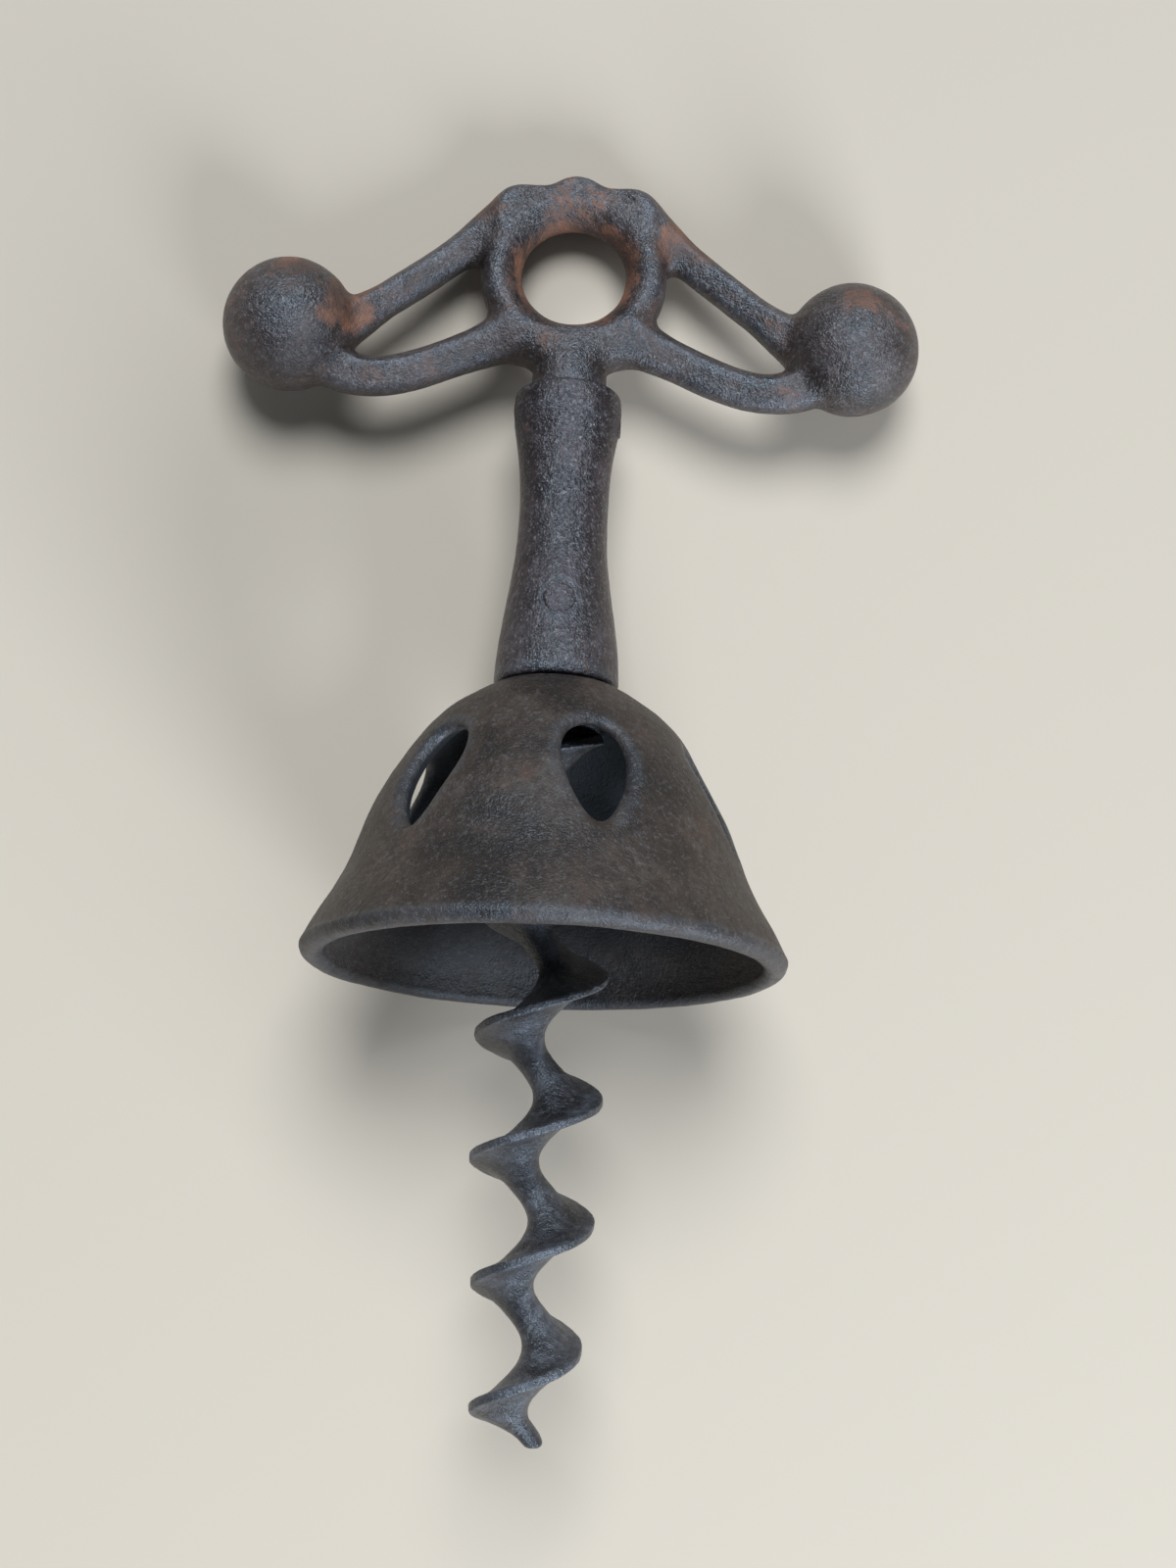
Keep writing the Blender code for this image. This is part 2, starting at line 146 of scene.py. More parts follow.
def skinOf(field, low, high, cell):
    # Closed quad skin round the places where the field is below zero, then drawn onto the surface
    counts = [ceil((h - l) / cell) + 1 for l, h in zip(low, high)]
    lines = [l + cell * np.arange(n) for l, n in zip(low, counts)]
    values = field(*np.meshgrid(*lines, indexing="ij"))
    inside = values < 0
    corners = [(i, j, k) for i in (0, 1) for j in (0, 1) for k in (0, 1)]

    def cornerView(grid, c):
        return grid[tuple(slice(o, n - 1 + o) for o, n in zip(c, counts))]

    filled = sum(cornerView(inside, c).astype(np.int8) for c in corners)
    active = (filled > 0) & (filled < 8)
    places = np.argwhere(active)
    index = np.full(active.shape, -1)
    index[active] = np.arange(len(places))
    corner = {c: cornerView(values, c)[active] for c in corners}
    total, crossings = np.zeros((len(places), 3)), np.zeros(len(places))
    for c in corners:
        for axis in range(3):
            if c[axis]:
                continue
            d = tuple(1 if i == axis else c[i] for i in range(3))
            a, b = corner[c], corner[d]
            cut = (a < 0) != (b < 0)
            share = np.where(cut, a / np.where(cut, a - b, 1), 0)
            offset = np.array(c, float) + np.eye(3)[axis] * share[:, None]
            total += offset * cut[:, None]
            crossings += cut
    points = np.array(low) + cell * (places + total / crossings[:, None])
    quads = []
    for axis in range(3):
        u, v = (axis + 1) % 3, (axis + 2) % 3
        first = np.take(inside, np.arange(counts[axis] - 1), axis)
        second = np.take(inside, np.arange(1, counts[axis]), axis)
        at = np.argwhere(first != second)
        keep = (at[:, u] > 0) & (at[:, v] > 0) & (at[:, u] < counts[u] - 1) & (at[:, v] < counts[v] - 1)
        at = at[keep]
        ring = []
        for du, dv in ((-1, -1), (0, -1), (0, 0), (-1, 0)):
            cellAt = at.copy()
            cellAt[:, u] += du
            cellAt[:, v] += dv
            ring.append(index[tuple(cellAt.T)])
        ring = np.array(ring).T
        outwards = first[tuple(at.T)]
        ring[~outwards] = ring[~outwards][:, ::-1]
        quads.append(ring)
    for _ in range(4):
        points, normals = drawOnto(field, points, 0.4 * cell)
    return points, np.concatenate(quads), normals


def drawOnto(field, points, most):
    # Moves points along the field's slope onto its zero, never further than most
    x, y, z = points.T
    h = 0.02
    slope = np.stack([
        field(x + h, y, z) - field(x - h, y, z),
        field(x, y + h, z) - field(x, y - h, z),
        field(x, y, z + h) - field(x, y, z - h),
    ], axis=1) / (2 * h)
    steep = np.linalg.norm(slope, axis=1)[:, None] + 1e-9
    step = np.clip(field(x, y, z)[:, None] / steep, -most, most)
    return points - step * slope / steep, slope / steep


def lumps(points, size, seed):
    # Soft noise of about that size, one value from -1 to 1 for each point
    shift = Vector((seed * 7.3, seed * 3.1, seed * 5.7))
    return np.array([noise.noise(Vector(p) / size + shift) for p in points])


def neighbourMean(values, edges, count):
    total = np.zeros((count, *values.shape[1:]))
    np.add.at(total, edges[:, 0], values[edges[:, 1]])
    np.add.at(total, edges[:, 1], values[edges[:, 0]])
    share = np.bincount(edges.ravel(), minlength=count)
    return total / np.maximum(share, 1).reshape(-1, *[1] * (values.ndim - 1))


def addShapeMasks(mesh, rounds, sharpness, calm=()):
    # Point attributes worn, on ridges and rims, and a second one that is painted shade for corners and pockets,
    # both 0 to 1
    count = len(mesh.vertices)
    points, normals = np.empty(count * 3), np.empty(count * 3)
    mesh.vertices.foreach_get("co", points)
    mesh.vertices.foreach_get("normal", normals)
    points, normals = points.reshape(-1, 3), normals.reshape(-1, 3)
    edges = np.empty(len(mesh.edges) * 2, int)
    mesh.edges.foreach_get("vertices", edges)
    edges = edges.reshape(-1, 2)
    smooth = points
    for _ in range(rounds):
        smooth = neighbourMean(smooth, edges, count)
    rise = ((points - smooth) * normals).sum(1) / mm
    for _ in range(2):
        rise = neighbourMean(rise, edges, count)
    for x, y, z, radius in calm:
        rise *= ease(np.linalg.norm(points / mm - (x, y, z), axis=1) / radius - 0.4)
    # the second mask, the negative rise, is painted shade for corners and pockets
    for name, value in (("worn", rise), ("hollowShade", -rise)):
        layer = mesh.attributes.new(name, "FLOAT", "POINT")
        layer.data.foreach_set("value", np.clip(value * sharpness, 0, 1).astype(np.float32))


def addSpots(mesh, name, spots):
    # Point attribute that is 1 at each spot (x, y, z, radius, strength) and fades out to its radius
    points = np.array([v.co for v in mesh.vertices]) / mm
    value = np.zeros(len(points))
    for x, y, z, radius, strength in spots:
        away = np.linalg.norm(points - (x, y, z), axis=1) / radius
        value = np.maximum(value, strength * ease(1 - away))
    layer = mesh.attributes.new(name, "FLOAT", "POINT")
    layer.data.foreach_set("value", value.astype(np.float32))


def meshFrom(name, points, faces):
    mesh = bpy.data.meshes.new(name)
    mesh.from_pydata((np.asarray(points) * mm).tolist(), [], [list(map(int, f)) for f in faces])
    mesh.validate()
    mesh.shade_smooth()
    return mesh


def place(name, mesh, node, body, material):
    # Puts a finished mesh on the tool, in place of its CAD node
    here = np.array([v.co for v in mesh.vertices], np.float32)
    layer = mesh.attributes.new("toolPlace", "FLOAT_VECTOR", "POINT")  # the finishes are laid out on these
    layer.data.foreach_set("vector", here.ravel())
    mesh.transform(toolFrame)
    piece = bpy.data.objects.new(name, mesh)
    bpy.context.scene.collection.objects.link(piece)
    mesh.materials.append(material)
    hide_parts(node)
    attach(piece, body)
    return piece


def newGroup(name, inputs, outputs):
    # A shader node group; inputs and outputs are (name, socket type, default value)
    group = bpy.data.node_groups.new(name, "ShaderNodeTree")
    for direction, sockets in (("INPUT", inputs), ("OUTPUT", outputs)):
        for socketName, kind, default in sockets:
            socket = group.interface.new_socket(
                socketName, in_out=direction, socket_type=f"NodeSocket{kind}"
            )
            if default is not None:
                socket.default_value = default
    return group, group.nodes.new("NodeGroupInput"), group.nodes.new("NodeGroupOutput")


def addNode(tree, kind, settings=None, **values):
    # A node with its settings and its input values; a value may be another node's output
    node = tree.nodes.new(f"ShaderNode{kind}")
    for name, value in (settings or {}).items():
        setattr(node, name, value)
    for name, value in values.items():
        socket = node.inputs[int(name[1:])] if name[1:].isdigit() else node.inputs[name.replace("_", " ")]
        if isinstance(value, bpy.types.NodeSocket):
            tree.links.new(value, socket)
        else:
            socket.default_value = value
    return node


def mathNode(tree, operation, a, b=0.0, clamp=False):
    return addNode(tree, "Math", {"operation": operation, "use_clamp": clamp}, i0=a, i1=b).outputs[0]


def rangeNode(tree, value, low, high, toLow=0.0, toHigh=1.0):
    node = addNode(tree, "MapRange", {"interpolation_type": "SMOOTHSTEP"}, i0=value)
    for i, number in enumerate((low, high, toLow, toHigh)):
        if isinstance(number, bpy.types.NodeSocket):
            tree.links.new(number, node.inputs[i + 1])
        else:
            node.inputs[i + 1].default_value = number
    return node.outputs[0]


def noiseNode(tree, vector, scale, detail=4.0, roughness=0.55, distortion=0.0):
    return addNode(
        tree, "TexNoise", None, Vector=vector, Scale=scale, Detail=detail,
        Roughness=roughness, Distortion=distortion,
    ).outputs["Fac"]


def mixColour(tree, share, a, b, how="MIX"):
    node = addNode(tree, "Mix", {"data_type": "RGBA", "blend_type": how})
    for socket, value in ((node.inputs[0], share), (node.inputs[6], a), (node.inputs[7], b)):
        if isinstance(value, bpy.types.NodeSocket):
            tree.links.new(value, socket)
        else:
            socket.default_value = value if socket == node.inputs[0] else (*value, 1)
    return node.outputs[2]


def makeCastGrain():
    # Sandy skin of an iron casting: Height for the bump, and Grit, the bright tops of the grains
    tree, given, out = newGroup(
        "castGrain",
        [("Vector", "Vector", None), ("Grain Scale", "Float", 4000.0), ("Pit Scale", "Float", 900.0),
         ("Pit Depth", "Float", 0.5)],
        [("Height", "Float", None), ("Grit", "Float", None)],
    )
    vector = given.outputs["Vector"]
    fine = noiseNode(tree, vector, given.outputs["Grain Scale"], 3, 0.6)
    coarse = noiseNode(tree, vector, mathNode(tree, "MULTIPLY", given.outputs["Grain Scale"], 0.45), 3, 0.6)
    grains = addNode(
        tree, "TexVoronoi", {"feature": "SMOOTH_F1"}, Vector=vector, Scale=given.outputs["Grain Scale"],
        Smoothness=0.4,
    ).outputs["Distance"]
    pits = rangeNode(tree, noiseNode(tree, vector, given.outputs["Pit Scale"], 5, 0.62), 0.3, 0.62)
    bumps = mathNode(tree, "SUBTRACT", fine, mathNode(tree, "MULTIPLY", grains, 0.5))
    bumps = mathNode(tree, "ADD", bumps, mathNode(tree, "MULTIPLY", coarse, 0.9))
    pitted = mathNode(tree, "MULTIPLY", pits, given.outputs["Pit Depth"])
    tree.links.new(mathNode(tree, "ADD", bumps, pitted), out.inputs["Height"])
    fineTops, coarseTops = mathNode(tree, "MULTIPLY", fine, 0.45), mathNode(tree, "MULTIPLY", coarse, 0.55)
    tops = mathNode(tree, "ADD", fineTops, coarseTops)
    tree.links.new(rangeNode(tree, tops, 0.50, 0.66), out.inputs["Grit"])
    return tree


def makePatina():
    # Mottled oxide: three colours in clouds and smaller freckles
    tree, given, out = newGroup(
        "patina",
        [("Vector", "Vector", None), ("Dark", "Color", (0.02, 0.017, 0.016, 1)),
         ("Middle", "Color", (0.04, 0.034, 0.032, 1)), ("Light", "Color", (0.07, 0.06, 0.056, 1)),
         ("Cloud Scale", "Float", 140.0), ("Freckle Scale", "Float", 1200.0)],
        [("Color", "Color", None), ("Clouds", "Float", None)],
    )
    vector = given.outputs["Vector"]
    clouds = noiseNode(tree, vector, given.outputs["Cloud Scale"], 6, 0.6, 0.4)
    freckles = noiseNode(tree, vector, given.outputs["Freckle Scale"], 4, 0.65)
    base = mixColour(tree, rangeNode(tree, clouds, 0.34, 0.6), given.outputs["Dark"], given.outputs["Middle"])
    bright, speckled = rangeNode(tree, clouds, 0.42, 0.66), rangeNode(tree, freckles, 0.4, 0.66)
    both = mathNode(tree, "MULTIPLY", bright, speckled)
    colour = mixColour(tree, both, base, given.outputs["Light"])
    tree.links.new(colour, out.inputs["Color"])
    tree.links.new(clouds, out.inputs["Clouds"])
    return tree


def makeRustBloom():
    # Where rust shows: the painted amount broken up by clouds and freckles
    tree, given, out = newGroup(
        "rustBloom",
        [("Vector", "Vector", None), ("Amount", "Float", 0.0), ("Everywhere", "Float", 0.1),
         ("Cloud Scale", "Float", 260.0)],
        [("Mask", "Float", None)],
    )
    vector = given.outputs["Vector"]
    clouds = noiseNode(tree, vector, given.outputs["Cloud Scale"], 6, 0.62, 0.3)
    freckles = noiseNode(tree, vector, mathNode(tree, "MULTIPLY", given.outputs["Cloud Scale"], 7.0), 3, 0.6)
    reach = mathNode(tree, "ADD", given.outputs["Amount"], given.outputs["Everywhere"])
    large, small = mathNode(tree, "MULTIPLY", clouds, 0.7), mathNode(tree, "MULTIPLY", freckles, 0.3)
    level = mathNode(tree, "ADD", large, small)
    edge = mathNode(tree, "SUBTRACT", 0.75, mathNode(tree, "MULTIPLY", reach, 0.5))
    soft = rangeNode(tree, level, edge, mathNode(tree, "ADD", edge, 0.16))
    strength = mathNode(tree, "MULTIPLY", reach, 1.6, True)
    tree.links.new(mathNode(tree, "MULTIPLY", soft, strength), out.inputs["Mask"])
    return tree


def makeEdgeWear():
    # Rubbed ridges and rims, broken up so that no edge is evenly bright
    tree, given, out = newGroup(
        "edgeWear",
        [("Vector", "Vector", None), ("Edge", "Float", 0.0), ("Breakup Scale", "Float", 700.0)],
        [("Mask", "Float", None)],
    )
    breakup = noiseNode(tree, given.outputs["Vector"], given.outputs["Breakup Scale"], 4, 0.6)
    level = mathNode(tree, "MULTIPLY", given.outputs["Edge"], rangeNode(tree, breakup, 0.3, 0.65, 0.35, 1.0))
    tree.links.new(rangeNode(tree, level, 0.12, 0.8), out.inputs["Mask"])
    return tree


def makeStreaks():
    # Fine marks drawn out along the tool's axis
    tree, given, out = newGroup(
        "drawnStreaks",
        [("Vector", "Vector", None), ("Scale", "Float", 1500.0), ("Stretch", "Float", 0.08)],
        [("Mask", "Float", None)],
    )
    squeeze = addNode(tree, "CombineXYZ", None, X=1.0, Y=1.0, Z=given.outputs["Stretch"]).outputs[0]
    drawn = addNode(
        tree, "VectorMath", {"operation": "MULTIPLY"}, i0=given.outputs["Vector"], i1=squeeze
    ).outputs[0]
    tree.links.new(noiseNode(tree, drawn, given.outputs["Scale"], 5, 0.6), out.inputs["Mask"])
    return tree


castGrain, patina, rustBloom = makeCastGrain(), makePatina(), makeRustBloom()
edgeWear, drawnStreaks = makeEdgeWear(), makeStreaks()


def useGroup(tree, group, **values):
    node = tree.nodes.new("ShaderNodeGroup")
    node.node_tree = group
    for name, value in values.items():
        socket = node.inputs[name.replace("_", " ")]
        if isinstance(value, bpy.types.NodeSocket):
            tree.links.new(value, socket)
        elif isinstance(value, tuple):
            socket.default_value = (*value, 1)
        else:
            socket.default_value = value
    return node


def readMask(tree, name):
    return addNode(tree, "Attribute", {"attribute_name": name}).outputs["Fac"]


def ironMaterial(name, look):
    # Old iron: mottled oxide over a sandy skin, rust where it is painted, rubbed ridges, painted shade in hollows
    # and on the bell's inside
    material = bpy.data.materials.new(name)
    material.use_nodes = True
    tree = material.node_tree
    shader = tree.nodes["Principled BSDF"]
    vector = addNode(tree, "Attribute", {"attribute_name": "toolPlace"}).outputs["Vector"]
    grain = useGroup(
        tree, castGrain, Vector=vector, Grain_Scale=look["grainScale"], Pit_Scale=look["pitScale"],
        Pit_Depth=look["pitDepth"],
    )
    oxide = useGroup(
        tree, patina, Vector=vector, Dark=look["dark"], Middle=look["middle"], Light=look["light"],
        Cloud_Scale=look["cloudScale"], Freckle_Scale=look["freckleScale"],
    )
    rust = useGroup(
        tree, rustBloom, Vector=vector, Amount=readMask(tree, "rust"), Everywhere=look["rustAround"],
        Cloud_Scale=look["rustScale"],
    ).outputs["Mask"]
    wear = useGroup(
        tree, edgeWear, Vector=vector, Edge=readMask(tree, "worn"), Breakup_Scale=look["wearScale"]
    ).outputs["Mask"]
    streaks = useGroup(
        tree, drawnStreaks, Vector=vector, Scale=look["streakScale"], Stretch=look["streakStretch"]
    ).outputs["Mask"]
    hollowShade = readMask(tree, "hollowShade")
    streaked = rangeNode(tree, streaks, 0.35, 0.68, 1 - look["streakShade"], 1 + look["streakShade"])
    colour = mixColour(tree, 1.0, oxide.outputs["Color"], streaked, "MULTIPLY")
    colour = mixColour(tree, mathNode(tree, "MULTIPLY", wear, look["wearShare"]), colour, look["wornColour"])
    grit = mathNode(tree, "MULTIPLY", grain.outputs["Grit"], look["gritShare"])
    colour = mixColour(tree, grit, colour, look["gritColour"])
    clouds = rangeNode(tree, oxide.outputs["Clouds"], 0.35, 0.65)
    rustShade = mixColour(tree, clouds, look["rustDark"], look["rustLight"])
    colour = mixColour(tree, mathNode(tree, "MULTIPLY", rust, look["rustShare"]), colour, rustShade)
    # painted shade: the colour is darkened in hollows and creases
    hollowShadeAmount = mathNode(tree, "MULTIPLY", hollowShade, look["hollowShadeShare"])
    colour = mixColour(tree, hollowShadeAmount, colour, look["hollowShadeColour"])
    # painted shade: near black on the bell's inside and in the crease by the left upper arm, also a little rougher
    paintedShade = readMask(tree, "paintedShade")
    colour = mixColour(tree, paintedShade, colour, look["paintedShadeColour"])
    tree.links.new(colour, shader.inputs["Base Color"])
    rough = rangeNode(tree, oxide.outputs["Clouds"], 0.35, 0.65, look["roughLow"], look["roughHigh"])
    rough = mathNode(tree, "SUBTRACT", rough, mathNode(tree, "MULTIPLY", wear, look["wornPolish"]))
    rough = mathNode(tree, "ADD", rough, mathNode(tree, "MULTIPLY", paintedShade, look["paintedShadeRoughness"]))
    rough = mathNode(tree, "ADD", rough, mathNode(tree, "MULTIPLY", rust, 0.22), True)
    tree.links.new(rough, shader.inputs["Roughness"])
    bare = mathNode(tree, "SUBTRACT", look["metal"], mathNode(tree, "MULTIPLY", rust, look["metal"]), True)
    tree.links.new(bare, shader.inputs["Metallic"])
    height = mathNode(
        tree, "ADD", grain.outputs["Height"], mathNode(tree, "MULTIPLY", streaks, look["streakDepth"])
    )
    bump = addNode(
        tree, "Bump", None, Strength=look["bumpStrength"], Distance=look["bumpDepth"] * mm, Height=height
    )
    tree.links.new(bump.outputs["Normal"], shader.inputs["Normal"])
    shader.inputs["Specular IOR Level"].default_value = look["specular"]
    return material


castLook = {
    "dark": (0.012, 0.0058, 0.0050), "middle": (0.040, 0.0200, 0.0145), "light": (0.080, 0.056, 0.050),
    "cloudScale": 190.0, "freckleScale": 950.0,
    "grainScale": 4800.0, "pitScale": 1300.0, "pitDepth": 0.5,
    "bumpDepth": 0.10, "bumpStrength": 1.0,
    "gritColour": (0.27, 0.235, 0.23), "gritShare": 0.34,
    "wornColour": (0.070, 0.074, 0.084), "wearShare": 0.35, "wearScale": 700.0, "wornPolish": 0.06,
    "rustDark": (0.050, 0.019, 0.010), "rustLight": (0.26, 0.090, 0.036), "rustShare": 0.85,
    "rustAround": 0.42, "rustScale": 260.0,
    # the two dark colours on the next line are painted shade, for hollows and creases and for the bell's inside
    "hollowShadeColour": (0.014, 0.0085, 0.006), "hollowShadeShare": 0.6, "paintedShadeColour": (0.002, 0.0014, 0.0014),
    "streakScale": 1700.0, "streakStretch": 0.1, "streakShade": 0.1, "streakDepth": 0.15,
    "roughLow": 0.30, "roughHigh": 0.48, "paintedShadeRoughness": 0.4, "metal": 0.1, "specular": 0.8,
}

sleeveFoot, sleeveTop = spanOf("sleeve")

handleShape = {
    "cell": 0.24,
    "eyeHeight": 12.6, "eyeThroat": 5.1, "eyeMouth": 6.65, "ringRadius": 9.1, "ringHalf": 2.9,
    "landInset": 1.9, "crestInset": 1.1,
    "crestPeak": 1.0, "crestLobe": 1.6, "lobeAngle": 40, "crestSpread": 29,
    "spigotRadius": 3.3, "spigotFoot": -6.0, "neckRadius": 3.6, "neckFlare": 6.6, "shoulderHeight": 0.3,
    "ballRadius": 6.44, "ballOffset": 27.43, "ballHeight": 6.32,
    "upperWidth": (2.45, 1.72, 2.5), "upperDepth": (3.0, 2.0, 2.7), "armFillet": 1.5,
    "lowerWidth": (2.3, 1.98, 2.5), "lowerDepth": (2.7, 2.1, 2.7),
    "lumpSize": 4.0, "lumpHeight": 0.07, "smallLumpSize": 1.1, "smallLumpHeight": 0.02,
    # spots are (x, y, height above the sleeve, radius, strength)
    "rustSpots": [
        (-21.5, -3, 7.6, 4.2, 1.0), (-20.2, 0, 9.4, 3.0, 0.9), (10.2, -2, 16.4, 3.0, 1.0),
        (12.2, -2, 15.2, 2.6, 0.7), (-26, -6, 10.5, 5.5, 0.5), (28, -6, 9.5, 5, 0.3),
        (-22.6, -5.2, 5.5, 3.0, 0.6), (-8.6, -2.5, 18.5, 2.6, 0.6), (-2.5, -3, 3.9, 1.8, 0.2),
        (0, -1, 18.6, 6.5, 0.3), (0, 0, 12.6, 8, 1.5), (-21.5, 3, 7.6, 4.2, 0.8),
        (12.4, 2, 15.0, 3.4, 0.7), (22, 2, 8, 3.5, 0.5),
    ],
    # a spot of painted shade in the crease between the ring and the left upper arm
    "shadeSpots": [(-11.4, 0, 14.6, 1.6, 0.9)],
}


def ringEdge(angle, shape):
    # The ring's outer radius at an angle from the top, with its crest of three lobes
    def lobe(centre):
        away = np.minimum(np.abs(angle - centre) / radians(shape["crestSpread"]), 1)
        return 0.5 + 0.5 * np.cos(pi * away)
    at = radians(shape["lobeAngle"])
    return shape["ringRadius"] + shape["crestPeak"] * lobe(0) + shape["crestLobe"] * (lobe(at) + lobe(-at))


def armPaths(shape):
    # Centre lines of the upper and lower arm on the +X side, in the XZ plane
    def fromEye(angle, radius):
        return np.array([radius * sin(radians(angle)), shape["eyeHeight"] + radius * cos(radians(angle))])
    ball, r = np.array([shape["ballOffset"], shape["ballHeight"]]), shape["ballRadius"]
    upperRoot = fromEye(43, 0.99 * shape["ringRadius"])
    lowerRoot = fromEye(139, 0.945 * shape["ringRadius"])
    upperEnd, lowerEnd = ball + r * np.array([-0.69, -0.02]), ball + r * np.array([-0.44, -0.36])
    upperSpan, lowerSpan = np.linalg.norm(upperEnd - upperRoot), np.linalg.norm(lowerEnd - lowerRoot)
    upper = bezier(
        upperRoot, upperRoot + upperSpan * np.array([0.25, -0.21]),
        upperEnd + upperSpan * np.array([-0.23, 0.135]), upperEnd, 20,
    )
    lower = bezier(
        lowerRoot, lowerRoot + lowerSpan * np.array([0.31, -0.085]),
        lowerEnd + lowerSpan * np.array([-0.27, -0.325]), lowerEnd, 24,
    )
    return upper, lower


def armField(x, y, z, path, widths, depths):
    # A bar with a ridge along its front and back, a little above its middle
    nearest = np.full(np.shape(x), 1e9)
    up, share = np.zeros(np.shape(x)), np.zeros(np.shape(x))
    count = len(path) - 1
    for i in range(count):
        (px, pz), (qx, qz) = path[i], path[i + 1]
        dx, dz = qx - px, qz - pz
        length = (dx * dx + dz * dz) ** 0.5
        t = np.clip(((x - px) * dx + (z - pz) * dz) / length**2, 0, 1)
        ox, oz = x - px - t * dx, z - pz - t * dz
        away = np.sqrt(ox * ox + oz * oz)
        closer = away < nearest
        side = np.where(oz * dx - ox * dz > 0, 1.0, -1.0)
        nearest = np.where(closer, away, nearest)
        up = np.where(closer, side * away, up)
        share = np.where(closer, (i + t) / count, share)
    root, end = ease(1 - 3 * share), ease(3 * share - 2)
    width = widths[1] + (widths[0] - widths[1]) * root + (widths[2] - widths[1]) * end
    depth = depths[1] + (depths[0] - depths[1]) * root + (depths[2] - depths[1]) * end
    u, v = up / width, np.abs(y) / depth
    upperFacet = 0.66 * (v - 1) + 0.75 * (u - 0.30)
    lowerFacet = 0.93 * (v - 1) - 0.37 * (u - 0.30)
    facets = blendMax(upperFacet, lowerFacet, 0.14)
    caps = np.maximum(np.abs(u) - 1, v - 1.05)
    return blendMax(facets, caps, 0.35) * width


def makeHandleField(shape):
    upper, lower = armPaths(shape)

    def field(x, y, z):
        up = z - shape["eyeHeight"]
        away, angle = np.hypot(x, up), np.arctan2(x, up)
        depth = np.abs(y)
        # the ring: tapered bore, flat land, rounded outside
        edge, half = ringEdge(angle, shape), shape["ringHalf"]
        crest = ease((edge - shape["ringRadius"]) / 1.0)
        inset = mix(shape["landInset"], shape["crestInset"], crest)
        e = (np.maximum(away - edge + inset, 0) / inset) ** 2.4 + (depth / half) ** 2.4
        outside = (np.maximum(e, 1e-6) ** (1 / 2.4) - 1) * 1.3
        taper = (shape["eyeMouth"] - shape["eyeThroat"]) * (depth / half) ** 1.5
        bore = (shape["eyeThroat"] + taper - away) * 0.86
        ring = blendMax(outside, bore, 0.7)
        # the neck flares into the ring
        start, inRing = 2.3, shape["eyeHeight"] - 6.9
        share = ease((z - start) / (inRing - start))
        wide = mix(shape["neckRadius"], shape["neckFlare"], share)
        deep = mix(shape["neckRadius"], 0.9 * half, share)
        e = np.sqrt((x / wide) ** 2 + (y / deep) ** 2)
        neck = (e - 1) * np.minimum(wide, deep)
        neck = blendMax(neck, z - inRing, 0.4)
        neck = blendMax(neck, shape["shoulderHeight"] - z, 0.25)
        spigot = np.hypot(x, y) - shape["spigotRadius"]
        spigot = blendMax(spigot, np.maximum(shape["spigotFoot"] - z, z - 3), 0.25)
        arms = blendMin(
            armField(np.abs(x), y, z, upper, shape["upperWidth"], shape["upperDepth"]),
            armField(np.abs(x), y, z, lower, shape["lowerWidth"], shape["lowerDepth"]), 0.9,
        )
        ball = np.sqrt((np.abs(x) - shape["ballOffset"]) ** 2 + y**2 + (z - shape["ballHeight"]) ** 2)
        ball = ball - shape["ballRadius"]
        solid = blendMin(blendMin(ring, neck, 1.3), arms, shape["armFillet"])
        solid = np.maximum(solid, -(away - shape["eyeThroat"] + 0.4))
        solid = blendMin(solid, ball, 0.9)
        return np.minimum(solid, spigot)
    return field


def makeHandle():
    shape = handleShape
    field = makeHandleField(shape)
    reach = shape["ballOffset"] + shape["ballRadius"] + 0.7
    points, faces, normals = skinOf(
        field, (-reach, -7.2, shape["spigotFoot"] - 0.7), (reach, 7.2, 25.0), shape["cell"]
    )
    rise = shape["lumpHeight"] * lumps(points, shape["lumpSize"], 1)
    rise += shape["smallLumpHeight"] * lumps(points, shape["smallLumpSize"], 2)
    points = points + normals * rise[:, None]
    points[:, 2] += sleeveTop
    mesh = meshFrom("castHandle", points, faces)
    addShapeMasks(mesh, 14, 9.0)
    spots = [(x, y, z + sleeveTop, r, s) for x, y, z, r, s in shape["rustSpots"]]
    addSpots(mesh, "rust", spots)
    # painted shade spot in the crease by the left upper arm
    addSpots(mesh, "paintedShade", [(x, y, z + sleeveTop, r, s) for x, y, z, r, s in shape["shadeSpots"]])
    return place("castHandle", mesh, "handle", "tool", ironMaterial("handleIron", castLook))


bellTop = spanOf("bell")[1]
bellShape = {
    "cell": 0.27,
    "rimRadius": 22.25, "crownRadius": 5.9, "wall": 2.0, "lipWall": 2.3,
    "lipOuterRound": 1.1, "lipInnerRound": 0.9, "crownThickness": 2.4, "bore": 3.05, "seatRadius": 4.9,
    "outline": ((0, 1), (0.10, 0.92), (0.20, 0.83), (0.31, 0.752), (0.53, 0.633),
                (0.75, 0.44), (0.87, 0.285), (0.95, 0.125), (1, 0)),
    "windows": 6, "windowPhase": 15, "windowWidth": 5.5, "windowBottom": 10.2, "windowTop": 19.9,
    # the last two numbers on the next line set the painted shade inside the bell, from the mouth to the crown
    "windowEgg": 0.3, "windowRound": 1.5, "shadeLow": 0.35, "shadeHigh": 1.0,
    "lumpSize": 6.0, "lumpHeight": 0.10, "smallLumpSize": 1.6, "smallLumpHeight": 0.03,
}
bellLook = castLook | {
    "dark": (0.010, 0.0052, 0.0036), "middle": (0.038, 0.0215, 0.0135), "light": (0.070, 0.050, 0.037),
    "cloudScale": 110.0, "rustAround": 0.45, "rustShare": 0.6, "rustDark": (0.040, 0.020, 0.013),
    "rustLight": (0.11, 0.05, 0.027), "wearShare": 0.3, "bumpDepth": 0.08,
    "roughLow": 0.38, "roughHigh": 0.60, "specular": 0.5, "gritShare": 0.2,
}


